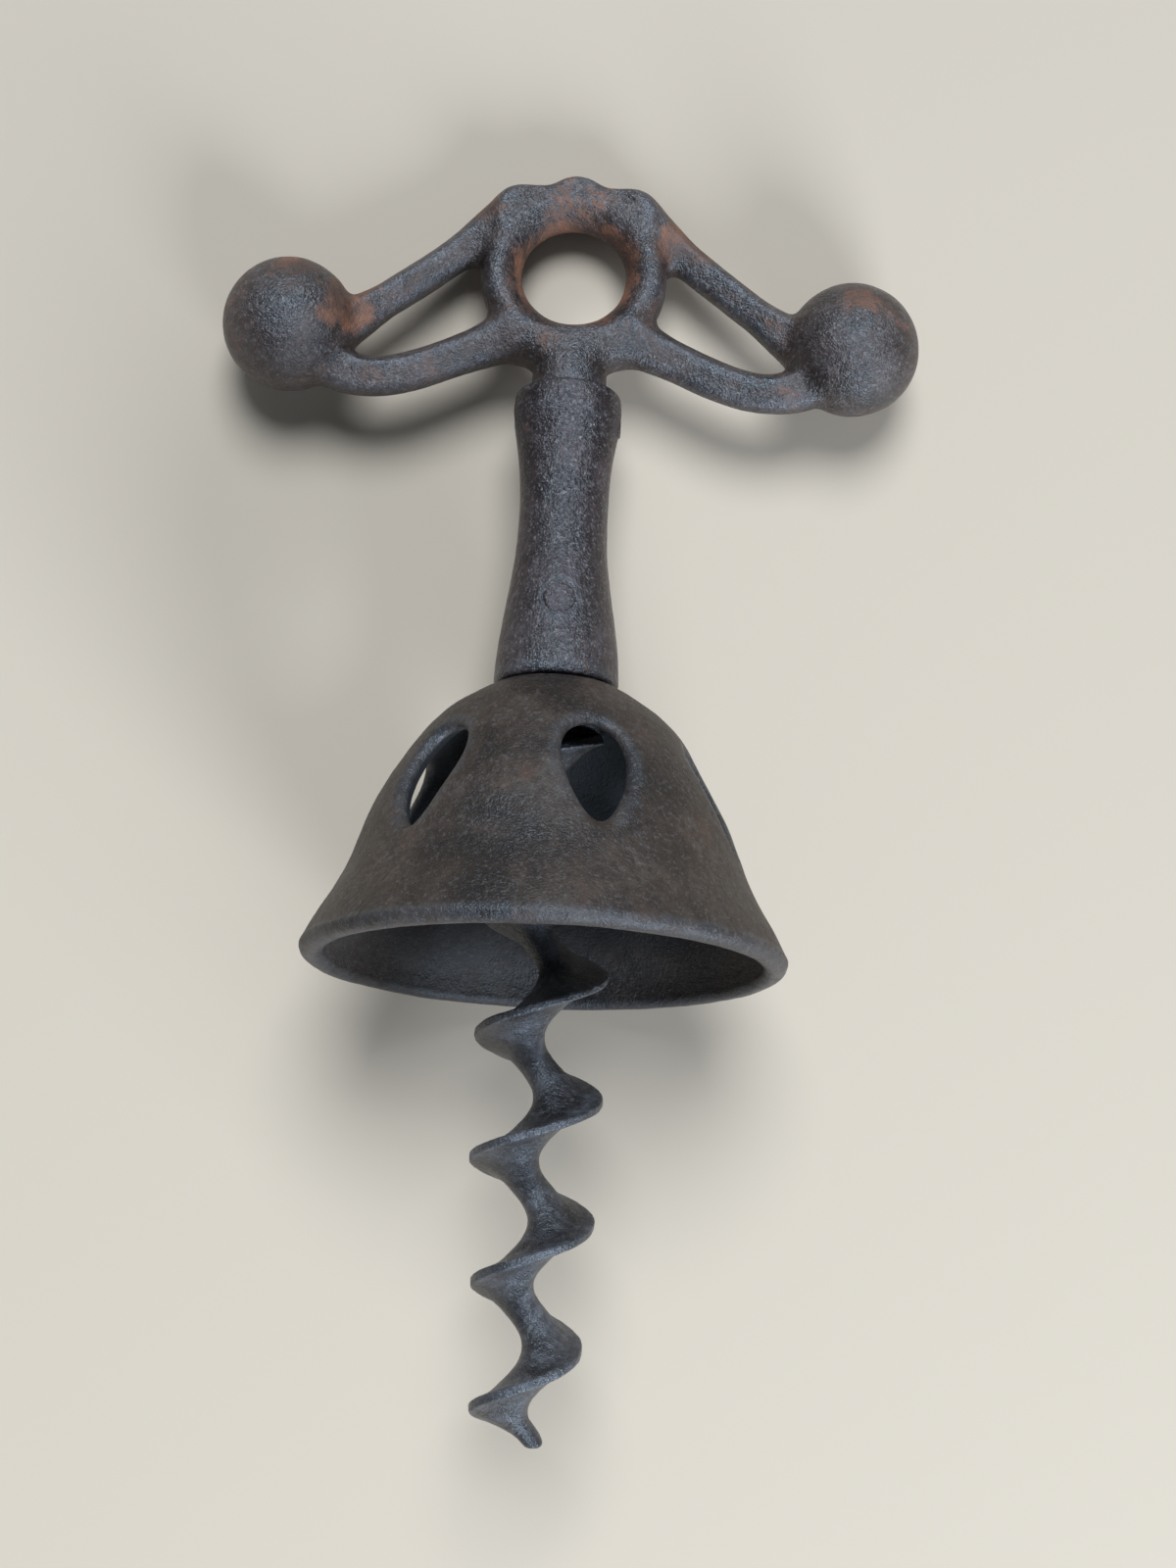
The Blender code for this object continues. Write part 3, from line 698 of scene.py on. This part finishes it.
def bellOutline(shape):
    low, high = shape["lipOuterRound"], bellTop
    crown, rim = shape["crownRadius"], shape["rimRadius"]
    outer = smoothCurve([(mix(crown, rim, r), mix(low, high, z)) for z, r in shape["outline"]], 8)
    wall, seat = shape["wall"], bellTop - shape["crownThickness"]
    inner = []
    for i, point in enumerate(outer):
        before, after = outer[max(i - 1, 0)], outer[min(i + 1, len(outer) - 1)]
        along = (after - before) / np.linalg.norm(after - before)
        moved = point + wall * np.array([-along[1], along[0]])
        if 2 * shape["lipInnerRound"] < moved[1] < seat and moved[0] > shape["seatRadius"]:
            inner.append(moved)
    quarter = np.radians(np.linspace(0, 90, 7))
    insideAt, rIn, rOut = rim - shape["lipWall"], shape["lipInnerRound"], shape["lipOuterRound"]
    inside = [(insideAt + rIn * (1 - cos(a)), rIn * (1 - sin(a))) for a in quarter]
    outside = [(rim - rOut + rOut * sin(a), rOut * (1 - cos(a))) for a in quarter[:-1]]
    hub = [(shape["bore"], bellTop), (shape["bore"], seat), (shape["seatRadius"], seat)]
    return inside + outside + [tuple(p) for p in outer] + hub + [tuple(p) for p in inner[::-1]]


def makeBell():
    shape = bellShape
    body = outlineTable(bellOutline(shape), 0.1, 1.2)
    turns = np.linspace(0, 2 * pi, 64, endpoint=False)
    middle = (shape["windowTop"] + shape["windowBottom"]) / 2
    half = (shape["windowTop"] - shape["windowBottom"]) / 2
    egg = [(shape["windowWidth"] / 2 * sin(a) * (1 + shape["windowEgg"] * cos(a)), middle + half * cos(a))
           for a in turns]
    window = outlineTable(egg, 0.1, 3.0)
    step, phase = 2 * pi / shape["windows"], radians(shape["windowPhase"])

    def field(x, y, z):
        away = np.hypot(x, y)
        wall = lookUp(body, away, z)
        angle = np.arctan2(x, -y) - phase
        angle = (angle + step / 2) % step - step / 2
        hole = lookUp(window, away * np.sin(angle), z)
        return blendMax(wall, -hole, shape["windowRound"])

    reach = shape["rimRadius"] + 0.6
    points, faces, normals = skinOf(
        field, (-reach, -reach, -0.6), (reach, reach, bellTop + 0.6), shape["cell"]
    )
    rise = shape["lumpHeight"] * lumps(points, shape["lumpSize"], 3)
    rise += shape["smallLumpHeight"] * lumps(points, shape["smallLumpSize"], 4)
    away = np.hypot(points[:, 0], points[:, 1])
    rise *= ease((away - 3.4) / 2)
    points = points + normals * rise[:, None]
    mesh = meshFrom("castBell", points, faces)
    addShapeMasks(mesh, 14, 8.0)
    addSpots(mesh, "rust", [])
    # the inside gets painted shade, darker towards the crown
    normals = np.array([v.normal for v in mesh.vertices])
    inwards = -(normals[:, :2] * points[:, :2]).sum(1) / np.hypot(points[:, 0], points[:, 1])
    paintedShade = mesh.attributes.new("paintedShade", "FLOAT", "POINT")
    depth = mix(shape["shadeLow"], shape["shadeHigh"], ease((points[:, 2] - 1) / 9))
    paintedShade.data.foreach_set("value", (depth * ease(2.5 * inwards)).astype(np.float32))
    return place("castBell", mesh, "bell", "bell", ironMaterial("bellIron", bellLook))


wormTop = spanOf("worm")[1]
wormShape = {
    "cell": 0.2,
    "pitch": 11.2, "reach": 6.0, "reachLow": 5.0, "root": 0.4, "halfWidth": 2.1, "edgeTaper": 0.8,
    "edgeRound": 0.45, "tipReach": 4.4, "tipHalfWidth": 0.9, "tipLead": 0.9, "tipRound": 0.6, "tipDrop": 42.8,
    "phaseHeight": -5.9, "bend": 9, "bendFrom": 20.0, "bendLength": 14.0,
    "shoulderRadius": 4.6, "shoulderTop": 23.7, "shoulderBottom": 22.2, "shankRadius": 2.75,
    "lumpSize": 2.4, "lumpHeight": 0.05, "smallLumpSize": 0.8, "smallLumpHeight": 0.025,
    "rustSpots": [(4.6, -3, -17.0, 1.5, 0.8)],
}
wormLook = castLook | {
    "dark": (0.012, 0.009, 0.009), "middle": (0.040, 0.035, 0.037), "light": (0.105, 0.102, 0.112),
    "gritShare": 0.26, "gritColour": (0.25, 0.25, 0.26),
    "metal": 0.2, "roughLow": 0.33, "roughHigh": 0.47, "rustAround": 0.08, "wearShare": 0.2,
    "cloudScale": 220.0,
}


def unbend(y, z, shape):
    # Where a point of the bent worm would be if the worm were straight
    full, start = radians(shape["bend"]), shape["bendFrom"]
    bow = shape["bendLength"] / full
    across, down = bow - y, start - z
    angle = np.clip(np.arctan2(down, across), 0, full)
    y0, z0 = bow * (1 - np.cos(angle)), start - bow * np.sin(angle)
    dy, dz = y - y0, z - z0
    along = dy * np.sin(angle) - dz * np.cos(angle)
    return dy * np.cos(angle) + dz * np.sin(angle), start - bow * angle - along


def makeWorm():
    shape = wormShape
    tip = -shape["tipDrop"]

    def field(x, y, z):
        y, z = unbend(y, z, shape)
        drop = -tip
        full = mix(shape["reachLow"], shape["reach"], ease((z + 0.85 * drop) / (0.5 * drop)))
        drawnIn = ease((z + drop) / (shape["pitch"] / 3))
        top = ease((shape["shoulderBottom"] - z) / (shape["pitch"] / 4))
        reach = mix(shape["tipReach"], full, drawnIn) - (full - shape["shoulderRadius"]) * (1 - top)
        half = mix(shape["tipHalfWidth"], shape["halfWidth"], ease((z + drop) / (shape["pitch"] / 4)))
        turn = pi + 2 * pi * (z - shape["phaseHeight"]) / shape["pitch"]
        u, v = x * np.cos(turn) + y * np.sin(turn), -x * np.sin(turn) + y * np.cos(turn)
        heel = half - shape["root"]
        v = v + shape["tipLead"] * (1 - ease((z + drop) / (shape["pitch"] / 4)))
        taper = shape["edgeTaper"] * ease((u - heel) / (reach - heel))
        bar = np.where(u < heel, np.hypot(u - heel, v), np.abs(v) + taper) - half
        outer = np.hypot(u, v) - reach
        blade = blendMax(bar, outer, shape["edgeRound"])
        slope = np.sqrt(1 + (2 * pi * np.hypot(x, y) / shape["pitch"]) ** 2)
        blade = blade / slope
        blade = blendMax(blade, np.maximum(tip - z, z - shape["shoulderTop"] + 0.5), shape["tipRound"])
        away = np.hypot(x, y)
        shoulder = blendMax(
            away - shape["shoulderRadius"],
            np.maximum(shape["shoulderBottom"] - z, z - shape["shoulderTop"]), 0.3,
        )
        shankEnds = np.maximum(shape["shoulderBottom"] - z, z - wormTop)
        shank = blendMax(away - shape["shankRadius"], shankEnds, 0.3)
        return blendMin(blendMin(blade, shoulder, 0.5), shank, 0.15)

    reach = shape["reach"] + 0.6
    points, faces, normals = skinOf(
        field, (-reach, -reach, tip - 0.8), (reach, reach + 10, wormTop + 0.5), shape["cell"]
    )
    rise = shape["lumpHeight"] * lumps(points, shape["lumpSize"], 5)
    rise += shape["smallLumpHeight"] * lumps(points, shape["smallLumpSize"], 6)
    rise *= ease((shape["shoulderBottom"] - points[:, 2]) / 2)
    points = points + normals * rise[:, None]
    mesh = meshFrom("bladedWorm", points, faces)
    addShapeMasks(mesh, 10, 10.0)
    addSpots(mesh, "rust", shape["rustSpots"])
    addSpots(mesh, "paintedShade", [])
    return place("bladedWorm", mesh, "worm", "tool", ironMaterial("wormSteel", wormLook))


sleeveShape = {
    "steps": 128, "footRadius": 5.85, "footRound": 0.5, "waistRadius": 4.22, "waistHeight": 17.7,
    "collarRadius": 5.2, "collarDrop": 2.9, "topRadius": 4.95, "topRound": 0.45,
    "shankBore": 3.05, "spigotBore": 3.6,
    "boreStep": 23.2, "pinSeam": 0.012,
    "lumpSize": 5.0, "lumpHeight": 0.06, "smallLumpSize": 1.2, "smallLumpHeight": 0.02,
}
sleeveLook = castLook | {
    "dark": (0.011, 0.0052, 0.0056), "middle": (0.031, 0.0165, 0.0165), "light": (0.066, 0.047, 0.049),
    "streakShade": 0.3, "streakDepth": 0.6, "streakScale": 2200.0, "streakStretch": 0.07,
    "rustAround": 0.36, "roughLow": 0.28, "roughHigh": 0.44, "specular": 0.7, "gritShare": 0.42,
}
pinShape = {
    "shankRadius": 1.5, "shankHeight": 7.3, "collarRadius": 1.1, "dome": 0.08, "collarDome": 0.08,
    "shankProud": 0.02, "collarProud": -0.13, "collarShift": 0.08, "edgeRound": 0.1, "steps": 48,
}
pinLook = sleeveLook | {"streakShade": 0.15, "streakDepth": 0.2}


def sleeveRadius(height, shape):
    length = sleeveTop - sleeveFoot
    collarAt = length - shape["collarDrop"]
    if height <= shape["waistHeight"]:
        share = (0.5 + 0.5 * cos(pi * height / shape["waistHeight"])) ** 1.2
        return mix(shape["waistRadius"], shape["footRadius"], share)
    if height <= collarAt:
        share = (height - shape["waistHeight"]) / (collarAt - shape["waistHeight"])
        return mix(shape["waistRadius"], shape["collarRadius"], share**2)
    share = min((height - collarAt) / shape["collarDrop"], 1)
    return mix(shape["topRadius"], shape["collarRadius"], (1 - share**2) ** 0.5)


def turned(profile, steps):
    # Points and quads of one closed shell turned about Z from a closed outline of (radius, height)
    count = len(profile)
    points = [(r * cos(a), r * sin(a), z)
              for a in np.linspace(0, 2 * pi, steps, endpoint=False) for r, z in profile]
    faces = []
    for i in range(steps):
        j = (i + 1) % steps
        for k in range(count):
            n = (k + 1) % count
            faces.append((i * count + k, j * count + k, j * count + n, i * count + n))
    return np.array(points), faces


def makeCutter(name, radius, reach, height, alongX):
    turns = np.linspace(0, 2 * pi, 64, endpoint=False)
    bm = bmesh.new()
    rings = []
    for end in (-reach, reach):
        ring = []
        for a in turns:
            across, up = radius * cos(a), height + radius * sin(a)
            ring.append(bm.verts.new(Vector((end, across, up) if alongX else (across, end, up)) * mm))
        rings.append(ring)
    for i in range(len(turns)):
        j = (i + 1) % len(turns)
        bm.faces.new((rings[0][i], rings[0][j], rings[1][j], rings[1][i]))
    bm.faces.new(rings[0])
    bm.faces.new(rings[1])
    bmesh.ops.recalc_face_normals(bm, faces=bm.faces)
    mesh = bpy.data.meshes.new(name)
    bm.to_mesh(mesh)
    bm.free()
    cutter = bpy.data.objects.new(name, mesh)
    bpy.context.scene.collection.objects.link(cutter)
    return cutter


def cutAway(mesh, cutters):
    # The mesh with the cutters taken out of it, as a new mesh
    holder = bpy.data.objects.new("holder", mesh)
    bpy.context.scene.collection.objects.link(holder)
    for cutter in cutters:
        boolean = holder.modifiers.new(cutter.name, "BOOLEAN")
        boolean.operation, boolean.solver, boolean.object = "DIFFERENCE", "EXACT", cutter
    seen = holder.evaluated_get(bpy.context.evaluated_depsgraph_get())
    cutMesh = bpy.data.meshes.new_from_object(seen)
    for obj in (holder, *cutters):
        bpy.data.objects.remove(obj)
    return cutMesh


def makeSleeve():
    shape = sleeveShape
    length = sleeveTop - sleeveFoot
    heights = [0.12 * shape["footRound"], 0.4 * shape["footRound"], shape["footRound"]]
    heights += list(np.linspace(shape["footRound"], length - shape["collarDrop"], 84)[1:])
    heights += [length - shape["collarDrop"] * (1 - sin(a)) for a in np.radians(np.linspace(0, 90, 28)[1:])]
    outside = [(shape["footRadius"] - shape["footRound"], 0)]
    for z in heights:
        corner = max(1 - z / shape["footRound"], 0)
        high = max(1 - (length - z) / shape["topRound"], 0)
        rounded = shape["footRound"] * (1 - (1 - corner**2) ** 0.5)
        rounded += shape["topRound"] * (1 - (1 - min(high, 1) ** 2) ** 0.5)
        outside.append((sleeveRadius(z, shape) - rounded, z))
    inside = [(shape["spigotBore"], z) for z in np.linspace(length, shape["boreStep"], 12)]
    inside += [(shape["shankBore"], z) for z in np.linspace(shape["boreStep"], 0, 30)]
    points, faces = turned(outside + inside, shape["steps"])
    away = np.hypot(points[:, 0], points[:, 1])[:, None]
    outwards = points * (1, 1, 0) / away
    rise = shape["lumpHeight"] * lumps(points, shape["lumpSize"], 7)
    rise += shape["smallLumpHeight"] * lumps(points, shape["smallLumpSize"], 8)
    points = points + outwards * (rise * ease((away[:, 0] - 3.8) / 0.5))[:, None]
    points[:, 2] += sleeveFoot
    mesh = meshFrom("turnedSleeve", points, faces)
    seam, pinHeight = shape["pinSeam"], sleeveFoot + pinShape["shankHeight"]
    collarHeight = sleeveTop - shape["collarDrop"]
    mesh = cutAway(mesh, [
        makeCutter("shankHole", pinShape["shankRadius"] + seam, 8, pinHeight, False),
        makeCutter("collarHole", pinShape["collarRadius"] + seam, 8, collarHeight, True),
    ])
    mesh.name = "turnedSleeve"
    mesh.materials.clear()
    mesh.shade_smooth()
    mesh.set_sharp_from_angle(angle=radians(50))
    addShapeMasks(mesh, 8, 9.0, [
        (0, -5.2, pinHeight, 2.4), (0, 5.2, pinHeight, 2.4),
        (-5.2, 0, collarHeight, 2), (5.2, 0, collarHeight, 2),
    ])
    addSpots(mesh, "rust", [])
    addSpots(mesh, "paintedShade", [])
    return place("turnedSleeve", mesh, "sleeve", "tool", ironMaterial("sleeveIron", sleeveLook))


def makePin(name, node, radius, halfLength, dome, height, alongX):
    # A cross pin, hammered flush at both ends with slightly uneven faces
    shape = pinShape
    rings = [
        (0.001, dome), (0.35, 0.96 * dome), (0.62, 0.78 * dome), (0.82, 0.48 * dome), (0.94, 0.18 * dome),
        (1.0, -shape["edgeRound"]),
    ]
    half = [(radius * r, halfLength - dome + z) for r, z in rings]
    body = list(np.linspace(half[-1][1], 0, 12)[1:])
    profile = half + [(radius, z) for z in body]
    profile += [(r, -z) for r, z in profile[-2::-1]]
    steps = shape["steps"]
    points = np.array([(r * cos(a), r * sin(a), z)
                       for r, z in profile for a in np.linspace(0, 2 * pi, steps, endpoint=False)])
    faces = [tuple(range(steps))]
    for i in range(len(profile) - 1):
        for k in range(steps):
            n = (k + 1) % steps
            faces.append((i * steps + k, i * steps + n, (i + 1) * steps + n, (i + 1) * steps + k)[::-1])
    faces.append(tuple(range((len(profile) - 1) * steps, len(profile) * steps))[::-1])
    ends = ease((np.abs(points[:, 2]) - halfLength + 0.6) / 0.4)
    points[:, 2] += np.sign(points[:, 2]) * ends * 0.05 * lumps(points, 0.9, 9)
    x, y, z = points.T
    points = np.stack((z, x, y) if alongX else (x, z, -y), axis=1)
    points[:, 2] += height
    points[:, 0] += shape["collarShift"] * alongX
    mesh = meshFrom(name, points, faces)
    mesh.set_sharp_from_angle(angle=radians(60))
    addShapeMasks(mesh, 3, 2.0)
    addSpots(mesh, "rust", [])
    addSpots(mesh, "paintedShade", [])
    return place(name, mesh, node, "tool", pinMaterial)


handle = makeHandle()
print("handle:", len(handle.data.polygons), "faces")
bell = makeBell()
print("bell:", len(bell.data.polygons), "faces")
worm = makeWorm()
print("worm:", len(worm.data.polygons), "faces")
sleeve = makeSleeve()
print("sleeve:", len(sleeve.data.polygons), "faces")
pinMaterial = ironMaterial("pinSteel", pinLook)
shankPinHeight = sleeveFoot + pinShape["shankHeight"]
collarPinHeight = sleeveTop - sleeveShape["collarDrop"]
makePin(
    "shankPin", "shank_pin", pinShape["shankRadius"],
    sleeveRadius(pinShape["shankHeight"], sleeveShape) + pinShape["shankProud"],
    pinShape["dome"], shankPinHeight, False,
)
makePin(
    "collarPin", "collar_pin", pinShape["collarRadius"],
    sleeveShape["collarRadius"] + pinShape["collarProud"], pinShape["collarDome"], collarPinHeight, True,
)
print("pins done")

studio = {
    "floorSize": 3.0, "floorColour": (0.50, 0.385, 0.285),
    "skyColour": (0.62, 0.80, 1.0), "skyStrength": 0.17,
    "keyFrom": (0.02, 0.44, 0.74), "keyAngle": 30, "keyPower": 4.3, "keyColour": (0.70, 0.85, 1.0),
    "fillPlace": (0.36, -0.58, 0.36), "fillSize": 0.4, "fillPower": 8.5, "fillColour": (0.66, 0.82, 1.0),
    "cameraPlace": (0.402, -224.764, -41.734), "cameraTurn": (104.81, -2.265, -1.363), "lens": 57.51,
}


def makeFloor():
    half = studio["floorSize"] / 2
    mesh = bpy.data.meshes.new("floor")
    corners = [(-half, -half, 0), (half, -half, 0), (half, half, 0), (-half, half, 0)]
    mesh.from_pydata(corners, [], [(0, 1, 2, 3)])
    floor = bpy.data.objects.new("floor", mesh)
    bpy.context.scene.collection.objects.link(floor)
    material = bpy.data.materials.new("paleFloor")
    material.use_nodes = True
    shader = material.node_tree.nodes["Principled BSDF"]
    shader.inputs["Base Color"].default_value = (*studio["floorColour"], 1)
    shader.inputs["Roughness"].default_value = 0.75
    mesh.materials.append(material)


def makeLight(name, at, size, power, colour):
    light = bpy.data.lights.new(name, "AREA")
    light.shape, light.size, light.energy, light.color = "DISK", size, power, colour
    lamp = bpy.data.objects.new(name, light)
    bpy.context.scene.collection.objects.link(lamp)
    lamp.location = at
    lamp.rotation_euler = (-Vector(at)).to_track_quat("-Z", "Y").to_euler()


def makeKey():
    light = bpy.data.lights.new("key", "SUN")
    light.energy, light.color = studio["keyPower"], studio["keyColour"]
    light.angle = radians(studio["keyAngle"])
    lamp = bpy.data.objects.new("key", light)
    bpy.context.scene.collection.objects.link(lamp)
    lamp.rotation_euler = (-Vector(studio["keyFrom"])).to_track_quat("-Z", "Y").to_euler()


def makeCamera():
    camera = bpy.data.cameras.new("camera")
    camera.lens, camera.sensor_width = studio["lens"], 36.0
    camera.clip_start, camera.clip_end = 0.01, 10
    holder = bpy.data.objects.new("camera", camera)
    bpy.context.scene.collection.objects.link(holder)
    turn = Euler([radians(a) for a in studio["cameraTurn"]]).to_matrix().to_4x4()
    holder.matrix_world = toolFrame @ Matrix.Translation(Vector(studio["cameraPlace"]) * mm) @ turn
    bpy.context.scene.camera = holder


def makeSky():
    world = bpy.data.worlds.new("softSky")
    world.use_nodes = True
    background = world.node_tree.nodes["Background"]
    background.inputs["Color"].default_value = (*studio["skyColour"], 1)
    background.inputs["Strength"].default_value = studio["skyStrength"]
    bpy.context.scene.world = world


makeFloor()
makeKey()
makeLight("fill", studio["fillPlace"], studio["fillSize"], studio["fillPower"], studio["fillColour"])
makeSky()
makeCamera()
bpy.context.scene.view_settings.view_transform = "Standard"
print("stage done")
